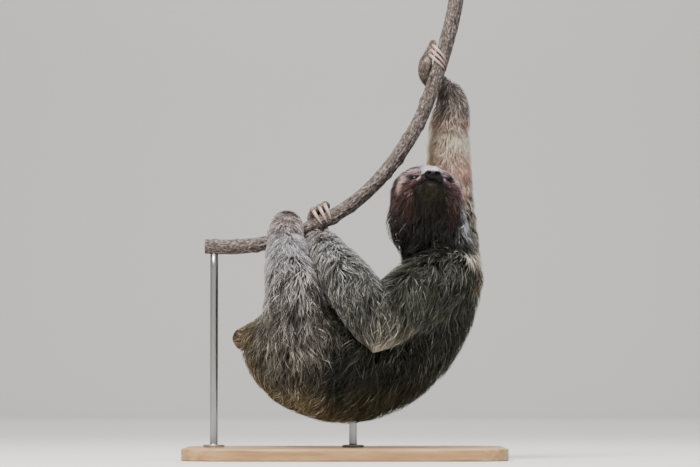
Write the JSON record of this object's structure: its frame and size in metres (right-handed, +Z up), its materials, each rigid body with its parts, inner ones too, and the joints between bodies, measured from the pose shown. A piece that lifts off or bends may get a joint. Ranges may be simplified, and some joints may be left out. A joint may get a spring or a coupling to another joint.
{
  "type": "three-toed sloth model",
  "caption": "Life-size brown-throated sloth hanging back down from a cut length of vine, arm raised and head turned to the viewer, on a plain display stand.",
  "frame": {"origin": "centre of the display base's underside, on the surface it stands on", "axes": "+Z up; -Y towards the viewer and the sloth's left side; +X from its rump towards its chest"},
  "size_m": [0.48, 0.3, 0.7046],
  "materials": {
    "coat": "long coarse grey-brown hair with pale tips, solid mesh tufts over skin",
    "face_coat": "short dense hair: pale band over brow and muzzle, brown cheeks, dark throat and hood",
    "nose_skin": "bare black leathery nose pad, slightly moist",
    "eye": "wet dark brown eye, almost black",
    "claw": "horn-coloured keratin claw, worn smooth",
    "bark": "grey-brown fissured vine bark with pale lichen, cut ends bare wood",
    "stand_wood": "satin lacquered beech plinth",
    "stand_steel": "satin steel rod and flange"
  },
  "bodies": {
    "root": {"head": "face_coat", "nose": "nose_skin", "left_eye": "eye", "right_eye": "eye", "neck": "coat", "trunk": "coat", "tail": "coat", "left_upper_arm": "coat", "left_forearm": "coat", "left_hand": "coat", "right_upper_arm": "coat", "right_forearm": "coat", "right_hand": "coat", "left_thigh": "coat", "left_shin": "coat", "left_foot": "coat", "right_thigh": "coat", "right_shin": "coat", "right_foot": "coat", "left_hand_inner_claw": "claw", "left_hand_middle_claw": "claw", "left_hand_outer_claw": "claw", "right_hand_inner_claw": "claw", "right_hand_middle_claw": "claw", "right_hand_outer_claw": "claw", "left_foot_inner_claw": "claw", "left_foot_middle_claw": "claw", "left_foot_outer_claw": "claw", "right_foot_inner_claw": "claw", "right_foot_middle_claw": "claw", "right_foot_outer_claw": "claw", "vine": "bark", "stand_base": "stand_wood", "stand_rod_vine": "stand_steel", "stand_rod_body": "stand_steel"}
  },
  "joints": []
}
